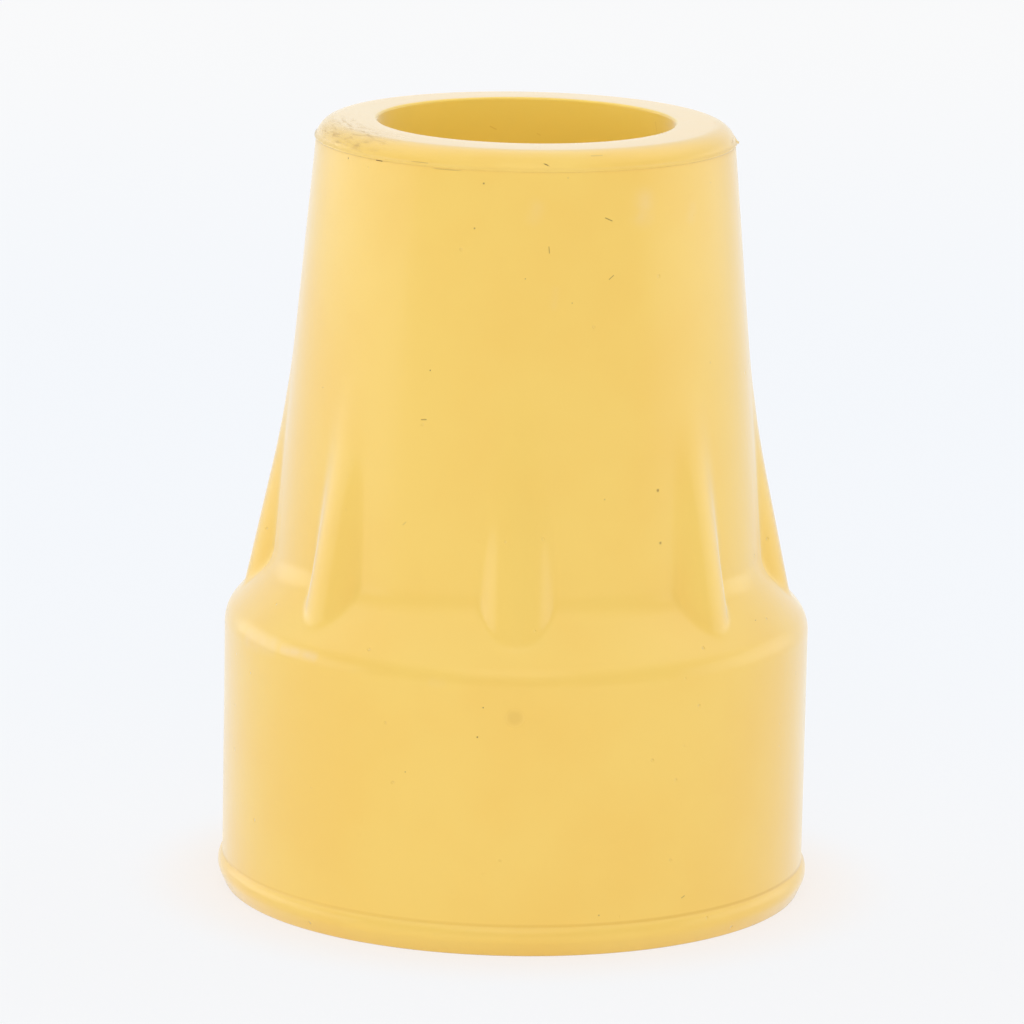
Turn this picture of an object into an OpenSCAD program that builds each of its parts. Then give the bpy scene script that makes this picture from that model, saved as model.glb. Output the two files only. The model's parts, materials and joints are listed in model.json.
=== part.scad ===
// Rubber tip for a walking cane: a blind socket for the tube, a tapered barrel,
// eight ribs that run down onto a sloping shoulder, and a wide skirt with a grooved sole.
// One moulded piece. Millimetres, standing on its sole, with the socket's axis along Z.

/* [Socket] */
// Bore for the cane's tube, diameter
bore_d = 19; // [13:0.5:26]
// Rubber under the tube's end
sole_t = 12; // [8:0.5:16]
// Round at the mouth's inner edge
mouth_round = 0.2; // [0.1:0.05:0.6]
// Round at the bottom of the bore
floor_round = 0.8; // [0.3:0.1:2]

/* [Barrel] */
// Height of the whole tip
tip_h = 50; // [42:0.5:65]
// Wall at the parting line, near the mouth
mouth_wall = 3.82; // [2.5:0.01:5]
// Wall at the barrel's foot, where the shoulder starts
foot_wall = 6.37; // [5:0.01:9]
// Height of the rim above the parting line
rim_h = 1.05; // [0.6:0.05:1.3]
// Radius of the rim's outer edge
rim_round = 1.45; // [1.35:0.05:2]
// How far the rim's edge steps out over the barrel
rim_step = 0.05; // [0:0.01:0.15]

/* [Parting bead] */
// How far the bead stands out from the rim
bead_proud = 0.12; // [0.05:0.01:0.3]
// Height of the bead
bead_h = 0.2; // [0.1:0.01:0.4]

/* [Shoulder] */
// Height of the barrel's foot above the floor
foot_z = 21.7; // [20:0.1:26]
// How far the shoulder widens from the barrel's foot to the skirt
shoulder_w = 2.98; // [2.4:0.02:4.5]
// Height of the shoulder's slope
shoulder_h = 3.5; // [2.4:0.1:5]
// Round of the outer corner, between slope and skirt
corner_round = 1.5; // [0.5:0.1:2]
// Hollow round between barrel and slope
throat_round = 1.2; // [0.5:0.1:2]

/* [Ribs] */
// Number of ribs
rib_count = 8; // [3:1:12]
// Height of a rib above the barrel, at the barrel's foot
rib_proud = 1.3; // [0.8:0.05:1.6]
// Length of a rib from the barrel's foot to its tip
rib_len = 10.2; // [7:0.1:15]
// Radius of a rib's round back
rib_round = 2.3; // [1.9:0.05:2.8]

/* [Base lip] */
// How far the lip stands out from the skirt
lip_proud = 0.28; // [0.1:0.01:0.6]
// Height of the lip's widest line above the floor
lip_z = 1.25; // [1:0.05:2]
// Radius of the lip's edge
lip_round = 1; // [0.8:0.05:1.5]
// How far the lip draws in at the floor
lip_undercut = 0.48; // [0.2:0.02:0.8]

/* [Sole] */
// Number of ring grooves
groove_count = 3; // [1:1:3]
// Radius of the innermost groove's middle
groove_r = 6; // [5:0.5:7]
// Distance from one groove to the next
groove_pitch = 4.2; // [3.6:0.1:4.5]
// Width of a groove at the floor
groove_w = 1.8; // [1:0.1:2.4]
// Width of a groove at its bottom
groove_floor_w = 1.2; // [0.6:0.1:1.6]
// Depth of a groove
groove_depth = 1.4; // [0.6:0.1:2.5]

/* [Hidden] */
$fn = 96;

rubber_colour = [0.95, 0.80, 0.42];
// Cutters run past the surface that they open by this much
overrun = 1;
// Steps in each round of the outline
arc_steps = 7;
// A rib's tip runs on under the barrel's surface by this much
rib_tail = 1.8;
// Turns in degrees; the first rib points to the front
full_turn = 360;
half_turn = 180;
front = -90;

bore_r = bore_d / 2;
parting_z = tip_h - rim_h;
barrel_top_r = bore_r + mouth_wall;
foot_r = bore_r + foot_wall;
skirt_r = foot_r + shoulder_w;
skirt_top_z = foot_z - shoulder_h;

// Radius of the barrel at height z
function barrel_r(z) = foot_r + (barrel_top_r - foot_r) * (z - foot_z) / (parting_z - foot_z);

// Unit vector from p to q
function direction(p, q) = (q - p) / norm(q - p);

// Points along an arc about a centre, from angle a to angle b
function arc(centre, r, a, b) = [
    for (i = [0 : arc_steps])
        let (turn = a + (b - a) * i / arc_steps)
            centre + r * [cos(turn), sin(turn)]
];

// The same turn brought to the half circle on either side of zero
function short_turn(a) = (a + full_turn + half_turn) % full_turn - half_turn;

// Points along the round of radius r that takes the place of a corner of the outline
function round_corner(prev, corner, next, r) =
    let (
        to_prev = direction(corner, prev),
        to_next = direction(corner, next),
        half = acos(to_prev * to_next) / 2,
        centre = corner + direction([0, 0], to_prev + to_next) * r / sin(half),
        start = corner + to_prev * r / tan(half) - centre,
        end = corner + to_next * r / tan(half) - centre,
        a = atan2(start.y, start.x),
        b = atan2(end.y, end.x)
    )
    arc(centre, r, a, a + short_turn(b - a));

// The shoulder's corners, in the half section
barrel_top = [barrel_top_r, parting_z];
foot = [foot_r, foot_z];
slope_end = [skirt_r, skirt_top_z];
skirt_foot = [skirt_r, lip_z];

// The rim's edge is an arc that leaves the flat top and ends at the parting line
rim_edge_r = barrel_top_r + rim_step;
rim_end = asin((rim_round - rim_h) / rim_round);
rim_centre = [rim_edge_r - rim_round * cos(rim_end), tip_h - rim_round];

// The lip's edge is an arc that ends where it meets the skirt
lip_centre = [skirt_r + lip_proud - lip_round, lip_z];
lip_end = acos((lip_round - lip_proud) / lip_round);

// Half section of the outside, from the axis to the skin
module outside_section() {
    polygon(concat(
        [[0, 0], [skirt_r - lip_undercut, 0]],
        arc(lip_centre, lip_round, -lip_end / 2, lip_end),
        round_corner(skirt_foot, slope_end, foot, corner_round),
        round_corner(slope_end, foot, barrel_top, throat_round),
        [
            [barrel_r(parting_z - bead_h), parting_z - bead_h],
            [rim_edge_r + bead_proud, parting_z - bead_h],
            [rim_edge_r + bead_proud, parting_z]
        ],
        arc(rim_centre, rim_round, rim_end, half_turn / 2),
        [[0, tip_h]]
    ));
}

// Half section of the bore, with its round floor edge
module bore_section() {
    translate([0, sole_t]) square([bore_r - floor_round, tip_h - sole_t + overrun]);
    translate([0, sole_t + floor_round]) square([bore_r, tip_h - sole_t - floor_round + overrun]);
    translate([bore_r - floor_round, sole_t + floor_round]) circle(floor_round);
}

// One rib: a round bar whose back leans in from the foot of the barrel up to its tip,
// where it sinks under the barrel's skin
module rib() {
    foot_back = [foot_r + rib_proud, foot_z];
    tip_back = [barrel_r(foot_z + rib_len), foot_z + rib_len];
    lean = atan((foot_back.x - tip_back.x) / rib_len);
    translate([foot_back.x, 0, foot_back.y])
        rotate([0, -lean, 0])
            translate([-rib_round, 0, -shoulder_h])
                cylinder(h = shoulder_h + norm(tip_back - foot_back) + rib_tail, r = rib_round);
}

// Ribs all round, one of them towards the front
module ribs() {
    for (i = [0 : rib_count - 1])
        rotate([0, 0, front + i * full_turn / rib_count]) rib();
}

// Ring grooves in the sole
module sole_grooves() {
    for (i = [0 : groove_count - 1])
        rotate_extrude()
            translate([groove_r + i * groove_pitch, 0])
                polygon([
                    [-groove_w / 2, -overrun],
                    [-groove_w / 2, 0],
                    [-groove_floor_w / 2, groove_depth],
                    [groove_floor_w / 2, groove_depth],
                    [groove_w / 2, 0],
                    [groove_w / 2, -overrun]
                ]);
}

// Eased inner edge of the mouth
module mouth_edge() {
    translate([0, 0, tip_h - mouth_round])
        cylinder(h = 2 * mouth_round, r1 = bore_r, r2 = bore_r + 2 * mouth_round);
}

module ferrule() {
    color(rubber_colour)
        difference() {
            union() {
                rotate_extrude() outside_section();
                ribs();
            }
            rotate_extrude() bore_section();
            mouth_edge();
            sole_grooves();
        }
}

ferrule();
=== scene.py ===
import json
import math

import bmesh
import bpy
from mathutils import Matrix, Vector


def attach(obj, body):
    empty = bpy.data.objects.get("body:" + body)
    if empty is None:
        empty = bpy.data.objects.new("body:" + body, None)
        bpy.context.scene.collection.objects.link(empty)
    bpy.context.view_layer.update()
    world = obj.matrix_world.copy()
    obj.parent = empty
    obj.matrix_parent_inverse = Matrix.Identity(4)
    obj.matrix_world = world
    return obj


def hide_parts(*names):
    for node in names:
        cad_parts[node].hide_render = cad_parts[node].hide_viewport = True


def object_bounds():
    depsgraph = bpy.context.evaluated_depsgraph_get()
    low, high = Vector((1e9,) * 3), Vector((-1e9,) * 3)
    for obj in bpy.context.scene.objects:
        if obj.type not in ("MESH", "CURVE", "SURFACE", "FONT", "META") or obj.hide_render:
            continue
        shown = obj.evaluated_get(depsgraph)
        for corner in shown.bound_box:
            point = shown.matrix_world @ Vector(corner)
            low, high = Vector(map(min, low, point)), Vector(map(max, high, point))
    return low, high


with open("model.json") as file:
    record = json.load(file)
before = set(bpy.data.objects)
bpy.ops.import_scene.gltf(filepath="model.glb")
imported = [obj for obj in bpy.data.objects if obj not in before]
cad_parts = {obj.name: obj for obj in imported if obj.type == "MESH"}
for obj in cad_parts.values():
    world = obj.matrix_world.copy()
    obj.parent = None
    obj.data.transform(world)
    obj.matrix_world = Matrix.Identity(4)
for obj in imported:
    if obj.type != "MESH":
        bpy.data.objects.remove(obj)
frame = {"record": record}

cadLow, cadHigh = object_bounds()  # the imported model's box
mm = 0.001

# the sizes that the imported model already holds, in millimetres
boreMount = next(m for m in frame["record"]["mounts"] if m["name"] == "bore")
boreR = boreMount["dims"]["r_mm"]
tipH = cadHigh.z / mm
lipR = cadHigh.x / mm
print("frame loaded: tip", round(tipH, 2), "mm high, bore radius", boreR, "mm")


# small helpers for node trees
def wire(tree, source, socket):
    if isinstance(source, bpy.types.NodeSocket):
        tree.links.new(source, socket)
    else:
        socket.default_value = source


def addNode(tree, kind, inputs=None, **settings):
    node = tree.nodes.new(kind)
    for name, value in settings.items():
        setattr(node, name, value)
    for key, value in (inputs or {}).items():
        wire(tree, value, node.inputs[key])
    return node


def calc(tree, operation, *values):
    node = tree.nodes.new("ShaderNodeMath")
    node.operation = operation
    for socket, value in zip(node.inputs, values):
        wire(tree, value, socket)
    return node.outputs[0]


def product(tree, first, *others):
    for other in others:
        first = calc(tree, "MULTIPLY", first, other)
    return first


def noise(tree, place, scale, detail):
    inputs = {"Vector": place, "Scale": scale, "Detail": detail}
    return addNode(tree, "ShaderNodeTexNoise", inputs).outputs["Fac"]


def vectorCalc(tree, operation, *values):
    node = tree.nodes.new("ShaderNodeVectorMath")
    node.operation = operation
    for socket, value in zip(node.inputs, values):
        wire(tree, value, socket)
    return node.outputs["Value" if operation in ("LENGTH", "DISTANCE", "DOT_PRODUCT") else "Vector"]


def ramp(tree, value, low, high, start=0.0, end=1.0):
    node = addNode(tree, "ShaderNodeMapRange", {0: value, 1: low, 2: high, 3: start, 4: end})
    node.interpolation_type = "SMOOTHSTEP"
    return node.outputs[0]


def blendColour(tree, amount, first, second):
    node = tree.nodes.new("ShaderNodeMix")
    node.data_type = "RGBA"
    wire(tree, amount, node.inputs[0])
    wire(tree, first, node.inputs[6])
    wire(tree, second, node.inputs[7])
    return node.outputs[2]


# outline of the tip in the half section, millimetres and degrees; the inner land stops
# short of the first groove, clear of the groove's round edge
tip = {
    "soleT": 12.0, "mouthRound": 0.18, "floorRound": 0.8,
    "rimEdgeR": 13.37, "rimH": 1.05, "rimRound": 1.45,
    "beadR": 13.47, "beadH": 0.18, "beadEase": 0.04, "beadSupport": 0.05, "barrelTopR": 13.36,
    "footR": 15.87, "footZ": 21.55, "throatRound": 2.8,
    "skirtR": 18.85, "shoulderH": 3.6, "cornerRound": 2.2,
    "lipZ": 1.25, "lipRound": 1.0, "lipLowEdge": -25, "creaseRound": 0.06, "skirtFootH": 0.4,
    "soleEdgeR": 18.66, "soleEdgeRound": 0.2,
    "grooveR": 6.0, "groovePitch": 4.2, "grooveCount": 3, "grooveW": 1.8, "grooveFloorW": 1.2,
    "grooveDepth": 1.4, "grooveEdgeRound": 0.2, "grooveFloorRound": 0.3, "landStop": 0.3,
}
# waves, the torn bead, the round dimple and the tooth on the bead
unevenness = {
    "wave": 0.02, "waveScale": 150.0, "waveDetail": 1.0,
    "raggedness": 0.05, "raggedScale": 900.0, "raggedDetail": 3.0, "raggedRimH": 0.35, "raggedRimShare": 0.5,
    "dimpleZ": 15.4, "dimpleR": 0.62, "dimpleCore": 0.4, "dimpleDepth": 0.08,
    "toothTurn": 88.5, "toothR": 0.3, "toothOut": 0.12,
}
ribs = {
    "count": 8, "proud": 1.3, "length": 10.2, "round": 2.3, "footBlend": 0.4, "tipBlend": 0.9,
    "spread": 1.6, "crowding": 0.55, "reachDown": 5.0, "reachUp": 4.6,
}
# steps along each stretch of the outline, and columns around the axis
steps = {
    "sole": 4, "groove": 2, "soleEdge": 3, "lip": 12, "crease": 1, "skirtFoot": 2, "skirt": 15, "corner": 12,
    "slope": 14, "throat": 14, "ribs": 56, "barrel": 14, "bead": 2, "rim": 12,
    "land": 4, "mouth": 6, "wall": 4, "boreRound": 6, "boreFloor": 4, "around": 432,
}
quarterTurn, halfTurn, fullTurn = 90, 180, 360
markSlack = 0.01  # millimetres that a mark reaches past the bead
mergeDistance = 0.000002  # metres


def arcPoints(centre, radius, start, end, count):
    angles = [math.radians(start + (end - start) * i / count) for i in range(count + 1)]
    return [(centre[0] + radius * math.cos(a), centre[1] + radius * math.sin(a)) for a in angles]


def linePoints(start, end, count):
    shares = [i / count for i in range(count + 1)]
    return [tuple(s + (e - s) * t for s, e in zip(start, end)) for t in shares]


def roundCorner(before, corner, after, radius, count):
    # points along the round that takes the place of a corner
    before, corner, after = Vector(before), Vector(corner), Vector(after)
    back, on = (before - corner).normalized(), (after - corner).normalized()
    half = back.angle(on) / 2
    centre = corner + (back + on).normalized() * radius / math.sin(half)
    first = corner + back * radius / math.tan(half) - centre
    last = corner + on * radius / math.tan(half) - centre
    start = math.degrees(math.atan2(first.y, first.x))
    sweep = (math.degrees(math.atan2(last.y, last.x)) - start + fullTurn + halfTurn) % fullTurn - halfTurn
    return arcPoints(centre, radius, start, start + sweep, count)


def barrelR(z):
    top = tipH - tip["rimH"]
    return tip["footR"] + (tip["barrelTopR"] - tip["footR"]) * (z - tip["footZ"]) / (top - tip["footZ"])


def solePoints():
    # flat lands and ring grooves, from the middle outwards
    points = linePoints((0, 0), (tip["grooveR"] - tip["grooveW"] / 2 - tip["landStop"], 0), steps["sole"])
    depth, edge, foot = tip["grooveDepth"], tip["grooveEdgeRound"], tip["grooveFloorRound"]
    for i in range(tip["grooveCount"]):
        middle = tip["grooveR"] + i * tip["groovePitch"]
        mouth, bottom = tip["grooveW"] / 2, tip["grooveFloorW"] / 2
        innerLand, outerLand = (middle - mouth - 1, 0), (middle + mouth + 1, 0)
        innerEdge, outerEdge = (middle - mouth, 0), (middle + mouth, 0)
        innerFloor, outerFloor = (middle - bottom, depth), (middle + bottom, depth)
        grooveFloor = (middle, depth)
        points += roundCorner(innerLand, innerEdge, innerFloor, edge, steps["groove"])
        points += roundCorner(innerEdge, innerFloor, grooveFloor, foot, steps["groove"])
        points += roundCorner(grooveFloor, outerFloor, outerEdge, foot, steps["groove"])
        points += roundCorner(outerFloor, outerEdge, outerLand, edge, steps["groove"])
    return points


def skinPoints():
    # the outside, from the sole's edge up to the mouth
    lipCentre = (lipR - tip["lipRound"], tip["lipZ"])
    lipEnd = math.degrees(math.acos((tip["skirtR"] - lipCentre[0]) / tip["lipRound"]))
    low = math.radians(tip["lipLowEdge"])
    lipStart = tuple(c + tip["lipRound"] * s for c, s in zip(lipCentre, (math.cos(low), math.sin(low))))
    foot = (tip["footR"], tip["footZ"])
    slopeEnd = (tip["skirtR"], tip["footZ"] - tip["shoulderH"])
    skirtFoot = (tip["skirtR"], tip["lipZ"])
    barrelTop = (tip["barrelTopR"], tipH - tip["rimH"])
    corner = roundCorner(skirtFoot, slopeEnd, foot, tip["cornerRound"], steps["corner"])
    throat = roundCorner(slopeEnd, foot, barrelTop, tip["throatRound"], steps["throat"])
    points = roundCorner((0, 0), (tip["soleEdgeR"], 0), lipStart, tip["soleEdgeRound"], steps["soleEdge"])
    points += arcPoints(lipCentre, tip["lipRound"], tip["lipLowEdge"], lipEnd, steps["lip"])
    crease = points.pop()
    points += roundCorner(points[-1], crease, corner[0], tip["creaseRound"], steps["crease"])
    points += linePoints(points[-1], (tip["skirtR"], crease[1] + tip["skirtFootH"]), steps["skirtFoot"])[1:]
    points += linePoints(points[-1], corner[0], steps["skirt"])[1:-1]
    points += corner
    points += linePoints(corner[-1], throat[0], steps["slope"])[1:-1]
    points += throat
    fadeZ = tip["footZ"] + ribs["length"] + ribs["reachUp"]
    points += linePoints(throat[-1], (barrelR(fadeZ), fadeZ), steps["ribs"])[1:]
    beadFoot = tipH - tip["rimH"] - tip["beadH"]
    supportZ = beadFoot - tip["beadSupport"]
    points += linePoints((barrelR(fadeZ), fadeZ), (barrelR(supportZ), supportZ), steps["barrel"])[1:]
    points += [(barrelR(beadFoot), beadFoot)]
    beadLow, beadHigh = beadFoot + tip["beadEase"], beadFoot + tip["beadH"] - tip["beadEase"]
    points += linePoints((tip["beadR"], beadLow), (tip["beadR"], beadHigh), steps["bead"])
    rimEnd = math.asin((tip["rimRound"] - tip["rimH"]) / tip["rimRound"])
    rimCentre = (tip["rimEdgeR"] - tip["rimRound"] * math.cos(rimEnd), tipH - tip["rimRound"])
    points += arcPoints(rimCentre, tip["rimRound"], math.degrees(rimEnd), quarterTurn, steps["rim"])
    return points


def borePoints():
    # mouth edge, wall and floor, down to the middle
    mouth, wallTop = tip["mouthRound"], tipH - tip["mouthRound"]
    landEdge = (tip["rimEdgeR"] - tip["rimRound"], tipH)
    points = linePoints(landEdge, (boreR + mouth, tipH), steps["land"])[1:-1]
    points += arcPoints((boreR + mouth, wallTop), mouth, quarterTurn, halfTurn, steps["mouth"])
    floorZ = tip["soleT"] + tip["floorRound"]
    points += linePoints((boreR, wallTop), (boreR, floorZ), steps["wall"])[1:-1]
    floorCentre = (boreR - tip["floorRound"], floorZ)
    points += arcPoints(floorCentre, tip["floorRound"], 0, -quarterTurn, steps["boreRound"])
    points += linePoints(points[-1], (0, tip["soleT"]), steps["boreFloor"])[1:]
    return points


def makeProfile():
    # the half section as a line of points, each marked with what happens to it
    sole, skin, inside = solePoints(), skinPoints(), borePoints()
    points = sole + skin + inside
    mesh = bpy.data.meshes.new("tipProfile")
    lines = [(i, i + 1) for i in range(len(points) - 1)]
    mesh.from_pydata([(r * mm, 0, z * mm) for r, z in points], lines, [])
    isSkin = [len(sole) <= i < len(sole) + len(skin) for i in range(len(points))]
    ribLow = tip["footZ"] - ribs["reachDown"]
    ribHigh = tip["footZ"] + ribs["length"] + ribs["reachUp"]
    beadHigh = tipH - tip["rimH"] + markSlack
    beadLow = beadHigh - tip["beadH"]

    def ribShare(z):
        # a rib's blend fades out above its tip
        left = min(max((ribHigh - z) / ribs["reachUp"], 0.0), 1.0)
        return float(z > ribLow) * left * left * (3 - 2 * left)

    def raggedShare(z):
        # all of the bead, and less of the rim's lowest edge
        if z <= beadLow or z >= beadHigh + unevenness["raggedRimH"]:
            return 0.0
        return 1.0 if z < beadHigh else unevenness["raggedRimShare"]

    marks = {
        "skin": [float(s) for s in isSkin],
        "ribbed": [s * ribShare(z) for s, (r, z) in zip(isSkin, points)],
        "ragged": [s * raggedShare(z) for s, (r, z) in zip(isSkin, points)],
    }
    for name, values in marks.items():
        mesh.attributes.new(name, "FLOAT", "POINT").data.foreach_set("value", values)
    return bpy.data.objects.new("tipProfile", mesh), len(points)


def turnedSkinTree(rubber):
    # turns the profile round the axis and raises the ribs out of it
    tree = bpy.data.node_groups.new("turnedSkin", "GeometryNodeTree")
    face = tree.interface
    face.new_socket("Profile", in_out="INPUT", socket_type="NodeSocketGeometry")
    for name in ("Segments", "Stations", "Rib Count"):
        face.new_socket(name, in_out="INPUT", socket_type="NodeSocketInt")
    for name in ("Rib Foot Z", "Rib Tip Z", "Rib Foot Back", "Rib Tip Back", "Rib Round", "Rib Spread",
                 "Rib Foot Blend", "Rib Tip Blend", "Crowding", "Wave", "Wave Scale", "Raggedness",
                 "Dimple Z", "Dimple R", "Dimple Depth", "Tooth Turn", "Tooth R", "Tooth Out"):
        face.new_socket(name, in_out="INPUT", socket_type="NodeSocketFloat")
    face.new_socket("Rubber", in_out="INPUT", socket_type="NodeSocketMaterial")
    face.new_socket("Skin", in_out="OUTPUT", socket_type="NodeSocketGeometry")
    given = tree.nodes.new("NodeGroupInput").outputs

    def sampled(value, kind, index):
        node = addNode(tree, "GeometryNodeSampleIndex", data_type=kind, domain="POINT")
        wire(tree, given["Profile"], node.inputs["Geometry"])
        wire(tree, value, node.inputs["Value"])
        wire(tree, index, node.inputs["Index"])
        return node.outputs["Value"]

    def mark(name, index):
        node = addNode(tree, "GeometryNodeInputNamedAttribute", {"Name": name}, data_type="FLOAT")
        return sampled(node.outputs["Attribute"], "FLOAT", index)

    around = calc(tree, "ADD", given["Segments"], 1)
    grid = addNode(tree, "GeometryNodeMeshGrid", {"Vertices X": around, "Vertices Y": given["Stations"]})
    place = tree.nodes.new("GeometryNodeInputPosition").outputs[0]
    spot = addNode(tree, "ShaderNodeSeparateXYZ", {0: place})
    evenTurn = calc(tree, "MULTIPLY", calc(tree, "ADD", spot.outputs["X"], 0.5), math.tau)
    ribWave = calc(tree, "SINE", product(tree, evenTurn, given["Rib Count"]))
    crowded = calc(tree, "DIVIDE", product(tree, ribWave, given["Crowding"]), given["Rib Count"])
    turn = calc(tree, "SUBTRACT", evenTurn, crowded)  # more columns on the ribs than between them
    share = calc(tree, "ADD", spot.outputs["Y"], 0.5)
    lastStation = calc(tree, "SUBTRACT", given["Stations"], 1)
    station = calc(tree, "ROUND", product(tree, share, lastStation))
    section = addNode(tree, "ShaderNodeSeparateXYZ", {0: sampled(place, "FLOAT_VECTOR", station)})
    r, z = section.outputs["X"], section.outputs["Z"]

    # a rib's section at this height is a circle, and its far side is met along this turn
    along = calc(tree, "DIVIDE", calc(tree, "SUBTRACT", z, given["Rib Foot Z"]),
                 calc(tree, "SUBTRACT", given["Rib Tip Z"], given["Rib Foot Z"]))

    def tapered(foot, top):
        change = calc(tree, "SUBTRACT", given[top], given[foot])
        return calc(tree, "MULTIPLY_ADD", along, change, given[foot])

    back, bend = tapered("Rib Foot Back", "Rib Tip Back"), given["Rib Round"]
    blend = calc(tree, "MAXIMUM", tapered("Rib Foot Blend", "Rib Tip Blend"), given["Rib Foot Blend"])
    axisR = calc(tree, "SUBTRACT", back, bend)
    # the ribs between front and sides stand a little nearer to the sides
    swing = calc(tree, "SINE", calc(tree, "MULTIPLY", turn, 2.0))
    ribTurn = calc(tree, "SUBTRACT", turn, product(tree, swing, given["Rib Spread"]))
    pitch = calc(tree, "DIVIDE", math.tau, given["Rib Count"])
    pitches = calc(tree, "ADD", calc(tree, "DIVIDE", ribTurn, pitch), 0.5)
    fromRib = product(tree, calc(tree, "SUBTRACT", calc(tree, "FRACT", pitches), 0.5), pitch)
    aside = product(tree, axisR, calc(tree, "SINE", fromRib))
    inside = calc(tree, "SUBTRACT", product(tree, bend, bend), product(tree, aside, aside))
    reach = calc(tree, "SQRT", calc(tree, "MAXIMUM", inside, 0.0))
    ribR = calc(tree, "ADD", product(tree, axisR, calc(tree, "COSINE", fromRib)), reach)
    raised = calc(tree, "SUBTRACT", calc(tree, "SMOOTH_MAX", r, ribR, blend), r)
    withRib = calc(tree, "MULTIPLY_ADD", raised, mark("ribbed", station), r)

    # slow waves of the moulded skin, and the torn edge of the parting bead
    flatSpot = addNode(tree, "ShaderNodeCombineXYZ", {
        0: product(tree, r, calc(tree, "SINE", turn)),
        1: product(tree, r, calc(tree, "COSINE", turn)), 2: z}).outputs[0]
    slow = noise(tree, flatSpot, given["Wave Scale"], unevenness["waveDetail"])
    fine = noise(tree, flatSpot, unevenness["raggedScale"], unevenness["raggedDetail"])
    wave = product(tree, calc(tree, "SUBTRACT", slow, 0.5), given["Wave"])
    torn = product(tree, calc(tree, "SUBTRACT", fine, 0.5), given["Raggedness"])
    fromTooth = product(tree, calc(tree, "SUBTRACT", turn, given["Tooth Turn"]), r)
    toothAside = calc(tree, "DIVIDE", fromTooth, given["Tooth R"])
    toothShape = calc(tree, "EXPONENT", product(tree, toothAside, toothAside, -1.0))
    tooth = product(tree, toothShape, given["Tooth Out"])
    wavy = calc(tree, "MULTIPLY_ADD", wave, mark("skin", station), withRib)
    withBead = calc(tree, "MULTIPLY_ADD", calc(tree, "ADD", torn, tooth), mark("ragged", station), wavy)

    # the shallow round mark low on the front of the skirt
    pastHalf = calc(tree, "MULTIPLY", calc(tree, "GREATER_THAN", turn, math.pi), math.tau)
    dimpleAside = product(tree, calc(tree, "SUBTRACT", turn, pastHalf), r)
    dimpleUp = calc(tree, "SUBTRACT", z, given["Dimple Z"])
    squares = calc(tree, "ADD", product(tree, dimpleAside, dimpleAside), product(tree, dimpleUp, dimpleUp))
    away = calc(tree, "SQRT", squares)
    core = calc(tree, "MULTIPLY", given["Dimple R"], unevenness["dimpleCore"])
    hollow = ramp(tree, away, core, given["Dimple R"], 1.0, 0.0)
    sunk = product(tree, hollow, given["Dimple Depth"], mark("skin", station))
    finalR = calc(tree, "SUBTRACT", withBead, sunk)

    spun = addNode(tree, "ShaderNodeCombineXYZ", {
        0: product(tree, finalR, calc(tree, "SINE", turn)),
        1: product(tree, finalR, calc(tree, "COSINE", turn), -1.0), 2: z}).outputs[0]
    placed = addNode(tree, "GeometryNodeSetPosition", {"Geometry": grid.outputs["Mesh"], "Position": spun})
    whole = {"Geometry": placed.outputs[0], "Distance": mergeDistance}
    closed = addNode(tree, "GeometryNodeMergeByDistance", whole)
    sealed = {"Geometry": closed.outputs[0], "Shade Smooth": True}
    smooth = addNode(tree, "GeometryNodeSetShadeSmooth", sealed)
    real = addNode(tree, "GeometryNodeRealizeInstances", {"Geometry": smooth.outputs[0]})
    finish = {"Geometry": real.outputs[0], "Material": given["Rubber"]}
    dressed = addNode(tree, "GeometryNodeSetMaterial", finish)
    wire(tree, dressed.outputs[0], addNode(tree, "NodeGroupOutput").inputs[0])
    return tree


def makeFerrule(rubber):
    profile, stations = makeProfile()
    bpy.context.scene.collection.objects.link(profile)
    tree = turnedSkinTree(rubber)
    turner = profile.modifiers.new("turnedSkin", "NODES")
    turner.node_group = tree
    tipZ = tip["footZ"] + ribs["length"]
    values = {
        "Segments": steps["around"], "Stations": stations, "Rib Count": ribs["count"],
        "Rib Foot Z": tip["footZ"] * mm, "Rib Tip Z": tipZ * mm,
        "Rib Foot Back": (tip["footR"] + ribs["proud"]) * mm, "Rib Tip Back": barrelR(tipZ) * mm,
        "Rib Round": ribs["round"] * mm, "Rib Spread": math.radians(ribs["spread"]),
        "Rib Foot Blend": ribs["footBlend"] * mm, "Rib Tip Blend": ribs["tipBlend"] * mm,
        "Crowding": ribs["crowding"], "Wave": unevenness["wave"] * mm, "Wave Scale": unevenness["waveScale"],
        "Raggedness": unevenness["raggedness"] * mm, "Dimple Z": unevenness["dimpleZ"] * mm,
        "Dimple R": unevenness["dimpleR"] * mm, "Dimple Depth": unevenness["dimpleDepth"] * mm,
        "Tooth Turn": math.radians(unevenness["toothTurn"]), "Tooth R": unevenness["toothR"] * mm,
        "Tooth Out": unevenness["toothOut"] * mm, "Rubber": rubber,
    }
    for socket in tree.interface.items_tree:
        if socket.in_out == "INPUT" and socket.name in values:
            turner[socket.identifier] = values[socket.name]
    shape = profile.evaluated_get(bpy.context.evaluated_depsgraph_get())
    mesh = bpy.data.meshes.new_from_object(shape)
    profile.modifiers.remove(turner)
    bpy.data.objects.remove(profile)
    mesh.name = "ferruleSkin"
    shell = bmesh.new()
    shell.from_mesh(mesh)
    bmesh.ops.recalc_face_normals(shell, faces=shell.faces)
    shell.to_mesh(mesh)
    shell.free()
    ferrule = bpy.data.objects.new("ferruleSkin", mesh)
    bpy.context.scene.collection.objects.link(ferrule)
    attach(ferrule, "root")
    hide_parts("ferrule")
    print("ferrule skin:", len(mesh.vertices), "points,", len(mesh.polygons), "faces,", stations, "stations")
    return ferrule


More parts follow.
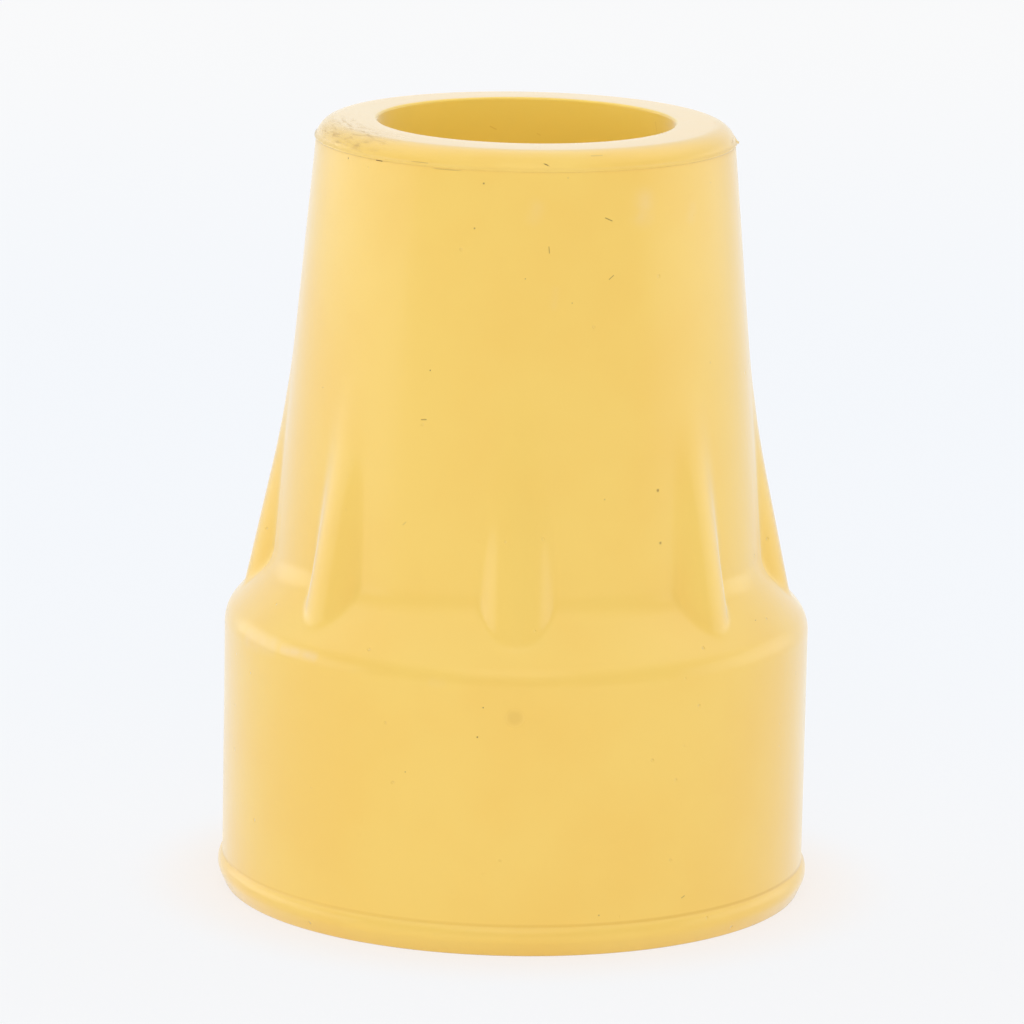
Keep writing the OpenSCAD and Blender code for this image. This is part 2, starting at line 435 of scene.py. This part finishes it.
# the rubber's colours and finish
rubberLook = {
    # socket: the bore's inside, the rubber's yellow made brighter and deeper as painted bounce light
    "colour": (0.96, 0.66, 0.15, 1), "deeper": (0.95, 0.63, 0.135, 1), "socket": (0.995, 0.71, 0.12, 1),
    "dirt": (0.20, 0.10, 0.03, 1), "grime": (0.36, 0.22, 0.11, 1), "bloom": (0.92, 0.70, 0.42, 1),
    # crease colour: the scuffs inside the mouth, and the painted shade in the crease over the base lip
    "crease": (0.72, 0.40, 0.05, 1), "scuff": (0.86, 0.70, 0.60, 1),
    "roughness": 0.22, "cloudRoughness": 0.05, "dullRoughness": 0.3,
    "specular": 0.5, "ior": 1.5, "sheen": 0.8, "sheenRoughness": 0.35,
    "cloudScale": 110.0, "cloudDetail": 3.0, "gritScale": 900.0, "gritDetail": 4.0,
    "grainScale": 2600.0, "grainDetail": 1.0, "grainDepth": 0.006,
    "rippleScale": 420.0, "rippleDetail": 2.0, "rippleDepth": 0.012,
    "speckScale": 330.0, "speckSize": 0.05, "speckShare": 0.8, "speckStrength": 0.6, "speckCore": 0.4,
    "pitScale": 560.0, "pitSize": 0.075, "pitShare": 0.4, "pitDepth": 0.035,
    "bloomFade": 1.6, "markCore": 0.3, "boreCore": 0.2,
    "rimDirtTurn": -66.0, "rimDirtWidth": 34.0, "rimDirt": 0.58,
    "smearScale": 3200.0, "smearDetail": 5.0, "smearStretch": 0.00006,
    "creaseZ": 2.02, "creaseMinR": 18.0,
}
# each mask's limits and, where they aren't 0 and 1, its values at either end
masks = {
    "clouds": (0.35, 0.7), "cloudRoughness": (0.3, 0.7), "bloomGrit": (0.2, 0.6, 0.5, 1.0),
    "scuffGrit": (0.3, 0.65, 0.55, 1.0), "boreGrit": (0.3, 0.6, 0.4, 1.0),
    "dirtSector": (0.15, 1.0, 1.0, 0.0), "dirtStreaks": (0.47, 0.7, 0.1, 0.9),
    "creaseTurn": (-10.0, 60.0, 0.2, 0.45),
}
# the same for distances, in millimetres
distanceMasks = {
    "outside": (9.6, 9.8), "rimHeight": (48.97, 49.3), "rimLand": (10.2, 11.6),
    # crease: the width of the painted shade in the crease over the base lip
    "crease": (0.03, 0.16, 1.0, 0.0),
}
# marks: turn in degrees, height, half run around, half rise, size, strength
# scuffs on the bore's back wall
boreMarks = [
    (118, 48.9, 0.15, 0.4, 0.06, 0.5), (113, 48.3, 0.1, 0.45, 0.06, 0.45),
    (193, 48.0, 0.2, 0.1, 0.07, 0.4), (238, 48.2, 0.25, 0.15, 0.07, 0.4),
    (175, 47.6, 0.1, 0.05, 0.07, 0.35),
]
# small dark marks on the skin
darkMarks = [
    (5.5, 49.25, 0.22, -0.12, 0.06, 0.85), (-43, 48.75, 0.25, 0.0, 0.05, 0.9),
    (-56, 48.5, 0.0, 0.0, 0.09, 0.7), (-11, 48.0, 0.0, 0.0, 0.09, 0.7),
    (-13, 45.2, 0.0, 0.0, 0.09, 0.55), (22.5, 45.8, 0.22, -0.1, 0.05, 0.7),
    (6.5, 44.0, 0.02, -0.2, 0.05, 0.55), (0.5, 42.2, 0.0, 0.0, 0.06, 0.6),
    (23, 42.2, 0.15, 0.12, 0.045, 0.6), (12.5, 40.7, 0.0, 0.0, 0.06, 0.5),
    (59.5, 47.3, 0.0, 0.0, 0.06, 0.4), (-23, 36.2, 0.0, 0.0, 0.07, 0.8),
    (-58, 33.9, 0.0, 0.0, 0.07, 0.6), (-24, 33.1, 0.16, 0.02, 0.05, 0.65),
    (-27.5, 26.5, 0.1, 0.1, 0.04, 0.35), (20.5, 28.4, 0.0, 0.0, 0.08, 0.35),
    (60, 19.6, 0.0, 0.0, 0.08, 0.6), (72, 15.5, 0.02, 0.12, 0.05, 0.6),
    (-6, 16.0, 0.0, 0.0, 0.07, 0.75), (-7, 14.1, 0.0, 0.0, 0.08, 0.85),
    (20, 49.7, 0.35, 0.0, 0.07, 0.25), (-29.5, 49.0, 0.6, 0.0, 0.04, 0.4),
    (81, 49.2, 0.3, 0.05, 0.14, 0.35), (-21.5, 48.7, 1.1, 0.0, 0.05, 0.35),
    (-21, 11.5, 0.0, 0.0, 0.07, 0.5), (17, 2.6, 0.0, 0.0, 0.08, 0.5),
    (35, 3.2, 0.1, 0.05, 0.06, 0.45),
]
# pale bloom
paleMarks = [
    (2.7, 46.3, 0.1, 0.3, 1.0, 0.26), (33, 46.4, 0.1, 0.4, 1.5, 0.42),
    (50, 45.7, 0.1, 0.3, 0.9, 0.26), (8, 41.0, 0.05, 0.5, 0.5, 0.2),
    (-15, 17.4, 0.3, 0.0, 0.6, 0.2),
]
# the rubbed place on the shoulder's left corner, and the round mark on the skirt
scuffMarks = [(-47, 17.85, 1.5, 0.05, 0.5, 0.24), (-60, 17.7, 1.6, 0.1, 1.0, 0.15)]
dimpleMarks = [(0, unevenness["dimpleZ"], 0, 0, 0.75, 0.1)]


def makeGroup(name, inputs, outputs, build):
    tree = bpy.data.node_groups.new(name, "ShaderNodeTree")
    for socket, kind in inputs.items():
        tree.interface.new_socket(socket, in_out="INPUT", socket_type="NodeSocket" + kind)
    for socket, kind in outputs.items():
        tree.interface.new_socket(socket, in_out="OUTPUT", socket_type="NodeSocket" + kind)
    given = tree.nodes.new("NodeGroupInput").outputs
    results = build(tree, given)
    ending = tree.nodes.new("NodeGroupOutput")
    for socket, result in zip(outputs, results):
        wire(tree, result, ending.inputs[socket])
    return tree


def useGroup(tree, group, **inputs):
    node = tree.nodes.new("ShaderNodeGroup")
    node.node_tree = group
    for socket, value in inputs.items():
        wire(tree, value, node.inputs[socket])
    return node.outputs


def dotGroup():
    # a round mark that is full inside its inner radius and gone at its size
    def build(tree, given):
        distance = vectorCalc(tree, "DISTANCE", given["Place"], given["Centre"])
        return [ramp(tree, distance, given["Inner"], given["Size"], given["Strength"], 0.0)]

    sockets = {"Place": "Vector", "Centre": "Vector", "Inner": "Float", "Size": "Float", "Strength": "Float"}
    return makeGroup("dot", sockets, {"Mask": "Float"}, build)


def strokeGroup():
    # the same along a short line: the nearest place on the line takes the centre's place
    def build(tree, given):
        away = vectorCalc(tree, "SUBTRACT", given["Place"], given["Centre"])
        along = vectorCalc(tree, "DOT_PRODUCT", away, given["Along"])
        held = calc(tree, "MAXIMUM", calc(tree, "MINIMUM", along, 1.0), -1.0)
        reached = {0: given["Reach"], "Scale": held}
        nearest = addNode(tree, "ShaderNodeVectorMath", reached, operation="SCALE")
        distance = vectorCalc(tree, "DISTANCE", away, nearest.outputs[0])
        return [ramp(tree, distance, given["Inner"], given["Size"], given["Strength"], 0.0)]

    sockets = {"Place": "Vector", "Centre": "Vector", "Reach": "Vector", "Along": "Vector",
               "Inner": "Float", "Size": "Float", "Strength": "Float"}
    return makeGroup("stroke", sockets, {"Mask": "Float"}, build)


def specksGroup():
    # scattered dots: a few of the cells hold one
    def build(tree, given):
        cells = addNode(tree, "ShaderNodeTexVoronoi", {"Vector": given["Place"], "Scale": given["Scale"]})
        drawn = addNode(tree, "ShaderNodeSeparateColor", {0: cells.outputs["Color"]}).outputs[0]
        chosen = calc(tree, "GREATER_THAN", drawn, given["Share"])
        core = calc(tree, "MULTIPLY", given["Size"], rubberLook["speckCore"])
        dot = ramp(tree, cells.outputs["Distance"], core, given["Size"], 1.0, 0.0)
        return [calc(tree, "MULTIPLY", dot, chosen)]

    sockets = {"Place": "Vector", "Scale": "Float", "Size": "Float", "Share": "Float"}
    return makeGroup("specks", sockets, {"Mask": "Float"}, build)


def turnGroup():
    # where a point is: degrees round the axis from the front, and distance from the axis
    def build(tree, given):
        spot = addNode(tree, "ShaderNodeSeparateXYZ", {0: given["Place"]}).outputs
        towardsFront = calc(tree, "MULTIPLY", spot["Y"], -1.0)
        turn = calc(tree, "DEGREES", calc(tree, "ARCTAN2", spot["X"], towardsFront))
        squares = calc(tree, "ADD", product(tree, spot["X"], spot["X"]), product(tree, spot["Y"], spot["Y"]))
        radius = calc(tree, "SQRT", squares)
        return [turn, radius, spot["Z"]]

    outputs = {"Turn": "Float", "Radius": "Float", "Height": "Float"}
    return makeGroup("turn", {"Place": "Vector"}, outputs, build)


def skinR(z):
    # radius of the outside at this height
    points = skinPoints()
    for (r0, z0), (r1, z1) in zip(points, points[1:]):
        if z0 < z <= z1:
            return r0 + (r1 - r0) * (z - z0) / (z1 - z0)
    return lipR


def marksMask(tree, groups, place, rows, core, wallR=None):
    mask = 0.0
    for turn, height, run, rise, size, strength in rows:
        a, r = math.radians(turn), wallR or skinR(height)
        centre = (r * math.sin(a) * mm, -r * math.cos(a) * mm, height * mm)
        shape = {"Place": place, "Centre": centre, "Strength": strength}
        shape.update({"Inner": size * core * mm, "Size": size * mm})
        if run or rise:
            reach = Vector((run * math.cos(a), run * math.sin(a), rise)) * mm
            one = useGroup(tree, groups["stroke"], Reach=reach, Along=reach / reach.length_squared, **shape)
        else:
            one = useGroup(tree, groups["dot"], **shape)
        mask = calc(tree, "MAXIMUM", mask, one[0])
    return mask


def distanceMask(tree, value, name):
    low, high, *ends = distanceMasks[name]
    return ramp(tree, value, low * mm, high * mm, *ends)


def rubberMaterial():
    look = rubberLook
    material = bpy.data.materials.new("yellowRubber")
    material.use_nodes = True
    tree = material.node_tree
    shader = tree.nodes["Principled BSDF"]
    mark = {"dot": dotGroup(), "stroke": strokeGroup()}
    specks, turned = specksGroup(), turnGroup()
    place = tree.nodes.new("ShaderNodeTexCoord").outputs["Object"]
    turn, radius, height = useGroup(tree, turned, Place=place)

    clouds = noise(tree, place, look["cloudScale"], look["cloudDetail"])
    colour = blendColour(tree, ramp(tree, clouds, *masks["clouds"]), look["colour"], look["deeper"])
    # painted light: inside the bore the rubber turns brighter and deeper, standing in for light bouncing
    # round within it
    outside = distanceMask(tree, radius, "outside")
    colour = blendColour(tree, outside, look["socket"], colour)

    # pale bloom and the rubbed place on the shoulder's left corner
    grit = noise(tree, place, look["gritScale"], look["gritDetail"])
    bloomed = marksMask(tree, mark, place, paleMarks, 0.0)
    bloom = product(tree, bloomed, ramp(tree, grit, *masks["bloomGrit"]))
    bloom = calc(tree, "POWER", bloom, look["bloomFade"])
    colour = blendColour(tree, bloom, colour, look["bloom"])
    rubbed = marksMask(tree, mark, place, scuffMarks, 0.0)
    rubbed = product(tree, rubbed, ramp(tree, grit, *masks["scuffGrit"]))
    colour = blendColour(tree, rubbed, colour, look["scuff"])

    # scuffs inside the mouth, and grime held by the rim's left side
    scuffs = marksMask(tree, mark, place, boreMarks, look["boreCore"], boreR)
    scuffs = product(tree, scuffs, ramp(tree, grit, *masks["boreGrit"]))
    colour = blendColour(tree, scuffs, colour, look["crease"])
    along = calc(tree, "MULTIPLY", turn, look["smearStretch"])
    ringPlace = addNode(tree, "ShaderNodeCombineXYZ", {0: along, 1: radius, 2: height}).outputs[0]
    smear = noise(tree, ringPlace, look["smearScale"], look["smearDetail"])
    fromDirt = calc(tree, "ABSOLUTE", calc(tree, "SUBTRACT", turn, look["rimDirtTurn"]))
    sector = ramp(tree, calc(tree, "DIVIDE", fromDirt, look["rimDirtWidth"]), *masks["dirtSector"])
    onRim = product(tree, distanceMask(tree, height, "rimHeight"), distanceMask(tree, radius, "rimLand"))
    streaks = ramp(tree, smear, *masks["dirtStreaks"])
    grime = product(tree, sector, onRim, streaks, look["rimDirt"])
    colour = blendColour(tree, grime, colour, look["grime"])

    # dark specks and marks
    dots = useGroup(tree, specks, Place=place, Scale=look["speckScale"], Size=look["speckSize"],
                    Share=look["speckShare"])[0]
    dots = product(tree, dots, outside, look["speckStrength"])
    dark = calc(tree, "MAXIMUM", marksMask(tree, mark, place, darkMarks, look["markCore"]), dots)
    dark = calc(tree, "MAXIMUM", dark, marksMask(tree, mark, place, dimpleMarks, look["markCore"]))
    colour = blendColour(tree, dark, colour, look["dirt"])

    # painted shade: a darker line in the crease over the base lip, strongest on the right
    fromCrease = calc(tree, "ABSOLUTE", calc(tree, "SUBTRACT", height, look["creaseZ"] * mm))
    onLip = calc(tree, "GREATER_THAN", radius, look["creaseMinR"] * mm)
    creaseShadeShare = product(tree, ramp(tree, turn, *masks["creaseTurn"]), onLip)
    paintedCreaseShade = product(tree, distanceMask(tree, fromCrease, "crease"), creaseShadeShare)
    colour = blendColour(tree, paintedCreaseShade, colour, look["crease"])
    wire(tree, colour, shader.inputs["Base Color"])

    # dirt is dull
    dull = calc(tree, "MAXIMUM", dark, grime)
    sheen = calc(tree, "MULTIPLY_ADD", dull, -look["sheen"], look["sheen"])
    wire(tree, sheen, shader.inputs["Sheen Weight"])
    specular = calc(tree, "MULTIPLY_ADD", dull, -look["specular"], look["specular"])
    wire(tree, specular, shader.inputs["Specular IOR Level"])
    cloudy = product(tree, ramp(tree, clouds, *masks["cloudRoughness"]), look["cloudRoughness"])
    rough = calc(tree, "ADD", cloudy, look["roughness"])
    rough = calc(tree, "MULTIPLY_ADD", dull, look["dullRoughness"], rough)
    wire(tree, rough, shader.inputs["Roughness"])

    grain = noise(tree, place, look["grainScale"], look["grainDetail"])
    ripple = noise(tree, place, look["rippleScale"], look["rippleDetail"])
    pits = useGroup(tree, specks, Place=place, Scale=look["pitScale"], Size=look["pitSize"],
                    Share=look["pitShare"])[0]
    relief = calc(tree, "MULTIPLY", grain, look["grainDepth"])
    relief = calc(tree, "MULTIPLY_ADD", ripple, look["rippleDepth"], relief)
    relief = calc(tree, "MULTIPLY_ADD", pits, -look["pitDepth"], relief)
    bump = addNode(tree, "ShaderNodeBump", {"Strength": 1.0, "Distance": mm, "Height": relief})
    wire(tree, bump.outputs[0], shader.inputs["Normal"])

    shader.inputs["IOR"].default_value = look["ior"]
    shader.inputs["Sheen Roughness"].default_value = look["sheenRoughness"]
    return material


# pale seamless floor: shows almost white to the camera and keeps a faint shadow
floorLook = {
    "size": 4.0, "colour": (0.95, 0.95, 0.94, 1), "roughness": 0.9, "glow": 0.86,
    "near": (0.94, 0.95, 0.975, 1), "shown": (0.925, 0.955, 1.0, 1), "far": (0.985, 0.99, 1.0, 1),
    "nearY": (-0.05, 0.1), "farY": (0.15, 0.42),
    # the warm tint near the tip's foot is painted bounce light from the tip
    "bleed": (1.0, 0.80, 0.62, 1), "bleedShare": 0.3, "bleedReach": (0.018, 0.026),
}


def seenDirectly(tree):
    path = tree.nodes.new("ShaderNodeLightPath").outputs
    seen = calc(tree, "MAXIMUM", path["Is Camera Ray"], path["Is Glossy Ray"])
    return calc(tree, "MAXIMUM", seen, path["Is Transmission Ray"])


def makeFloor():
    mesh = bpy.data.meshes.new("floor")
    half = floorLook["size"] / 2
    corners = [(-half, -half, 0), (half, -half, 0), (half, half, 0), (-half, half, 0)]
    mesh.from_pydata(corners, [], [(0, 1, 2, 3)])
    floor = bpy.data.objects.new("floor", mesh)
    bpy.context.scene.collection.objects.link(floor)
    material = bpy.data.materials.new("floorCard")
    material.use_nodes = True
    tree = material.node_tree
    shader = tree.nodes["Principled BSDF"]
    shader.inputs["Base Color"].default_value = floorLook["colour"]
    shader.inputs["Roughness"].default_value = floorLook["roughness"]
    shader.inputs["Specular IOR Level"].default_value = 0.0
    # whiter far behind, and painted warm bounce light from the tip close to its foot
    place = tree.nodes.new("ShaderNodeTexCoord").outputs["Object"]
    depth = addNode(tree, "ShaderNodeSeparateXYZ", {0: place}).outputs["Y"]
    shown = blendColour(tree, ramp(tree, depth, *floorLook["nearY"]), floorLook["near"], floorLook["shown"])
    shown = blendColour(tree, ramp(tree, depth, *floorLook["farY"]), shown, floorLook["far"])
    fromAxis = vectorCalc(tree, "LENGTH", place)
    bleed = ramp(tree, fromAxis, *floorLook["bleedReach"], floorLook["bleedShare"], 0.0)
    shown = blendColour(tree, bleed, shown, floorLook["bleed"])
    glow = addNode(tree, "ShaderNodeEmission", {"Color": shown, "Strength": 1.0})
    share = calc(tree, "MULTIPLY", seenDirectly(tree), floorLook["glow"])
    mixed = addNode(tree, "ShaderNodeMixShader", {0: share, 1: shader.outputs[0], 2: glow.outputs[0]})
    wire(tree, mixed.outputs[0], tree.nodes["Material Output"].inputs["Surface"])
    mesh.materials.append(material)


# glow is a softbox's brightness, where 1 is white; an unseen one isn't mirrored either
studio = {
    "roomSides": 0.93, "roomTop": 0.32,
    "mirroredFront": 0.35, "backdropY": (-0.35, 0.25), "mirroredTop": 1.0, "overheadZ": (0.4, 0.8),
}
softboxes = {
    "left": {
        "azimuth": -100, "elevation": 0, "distance": 0.5, "width": 0.8, "height": 0.36,
        "glow": 1.0, "unseen": False,
    },
    "right": {
        "azimuth": 100, "elevation": 0, "distance": 0.5, "width": 0.6, "height": 0.36,
        "glow": 0.78, "unseen": False,
    },
    "behind": {
        "azimuth": 180, "elevation": 10, "distance": 0.6, "width": 0.8, "height": 0.4,
        "glow": 0.2, "unseen": True,
    },
    "above": {
        "azimuth": 180, "elevation": 70, "distance": 0.45, "width": 0.95, "height": 0.34,
        "glow": 0.66, "unseen": True,
    },
    "front": {
        "azimuth": 0, "elevation": 36, "distance": 0.6, "width": 0.4, "height": 0.3,
        "glow": 2.35, "unseen": True,
    },
}


def around(azimuth, elevation, distance):
    # a place round the tip: azimuth 0 is the front, 90 the right
    a, e = math.radians(azimuth), math.radians(elevation)
    return Vector((math.sin(a) * math.cos(e), -math.cos(a) * math.cos(e), math.sin(e))) * distance


def makeLights():
    middle = Vector((0, 0, tipH * mm / 2))
    for name, box in softboxes.items():
        light = bpy.data.lights.new(name + "Softbox", "AREA")
        light.shape = "RECTANGLE"
        light.size, light.size_y = box["width"], box["height"]
        light.energy = box["glow"] * math.pi * box["width"] * box["height"]
        lamp = bpy.data.objects.new(name + "Softbox", light)
        away = around(box["azimuth"], box["elevation"], box["distance"])
        lamp.location = middle + away
        lamp.rotation_euler = away.to_track_quat("Z", "Y").to_euler()
        lamp.visible_camera = False
        lamp.visible_glossy = not box["unseen"]
        bpy.context.scene.collection.objects.link(lamp)
    world = bpy.data.worlds.new("studio")
    world.use_nodes = True
    bpy.context.scene.world = world
    tree = world.node_tree
    lighting = tree.nodes["Background"]
    lighting.inputs["Color"].default_value = (1, 1, 1, 1)
    facing = tree.nodes.new("ShaderNodeTexCoord").outputs["Generated"]
    way = addNode(tree, "ShaderNodeSeparateXYZ", {0: facing})
    sides, top = studio["roomSides"], studio["roomTop"]
    shade = addNode(tree, "ShaderNodeMapRange", {0: way.outputs["Z"], 3: sides, 4: top})
    wire(tree, shade.outputs[0], lighting.inputs["Strength"])
    # glossy surfaces mirror the white backdrop behind the tip and a dimmer room in front of it
    camera = tree.nodes.new("ShaderNodeLightPath").outputs["Is Camera Ray"]
    backdrop = ramp(tree, way.outputs["Y"], *studio["backdropY"], studio["mirroredFront"], 1.0)
    overhead = ramp(tree, way.outputs["Z"], *studio["overheadZ"], 0.0, studio["mirroredTop"])
    mirrored = product(tree, calc(tree, "ADD", backdrop, overhead), calc(tree, "SUBTRACT", 1.0, camera))
    strength = calc(tree, "ADD", mirrored, camera)
    shown = addNode(tree, "ShaderNodeBackground", {"Color": floorLook["shown"], "Strength": strength})
    seen = seenDirectly(tree)
    mixed = addNode(tree, "ShaderNodeMixShader", {0: seen, 1: lighting.outputs[0], 2: shown.outputs[0]})
    wire(tree, mixed.outputs[0], tree.nodes["World Output"].inputs["Surface"])


# the photograph's viewpoint: millimetres, degrees, and its focal length in pixels of the image
cameraSet = {
    "distance": 433.7, "elevation": 12.1, "roll": 1.128, "aimX": -0.42, "aimZ": 24.43,
    "focal": 6724.5, "image": 1024, "sensor": 36.0,
}


def makeCamera():
    data = bpy.data.cameras.new("photoCamera")
    data.sensor_width = cameraSet["sensor"]
    data.lens = data.sensor_width * cameraSet["focal"] / cameraSet["image"]
    camera = bpy.data.objects.new("photoCamera", data)
    back = around(0, cameraSet["elevation"], 1.0)
    right = Vector((1, 0, 0))
    up = back.cross(right)
    rolled = Matrix.Rotation(math.radians(cameraSet["roll"]), 3, "Z")
    axes = Matrix((right, up, back)).transposed() @ rolled
    aim = Vector((cameraSet["aimX"], 0, cameraSet["aimZ"])) * mm
    camera.matrix_world = Matrix.Translation(aim + back * cameraSet["distance"] * mm) @ axes.to_4x4()
    bpy.context.scene.collection.objects.link(camera)
    bpy.context.scene.camera = camera


makeCamera()
makeFloor()
makeLights()
print("camera, floor and lights made")
makeFerrule(rubberMaterial())

bpy.context.scene.view_settings.view_transform = "Standard"
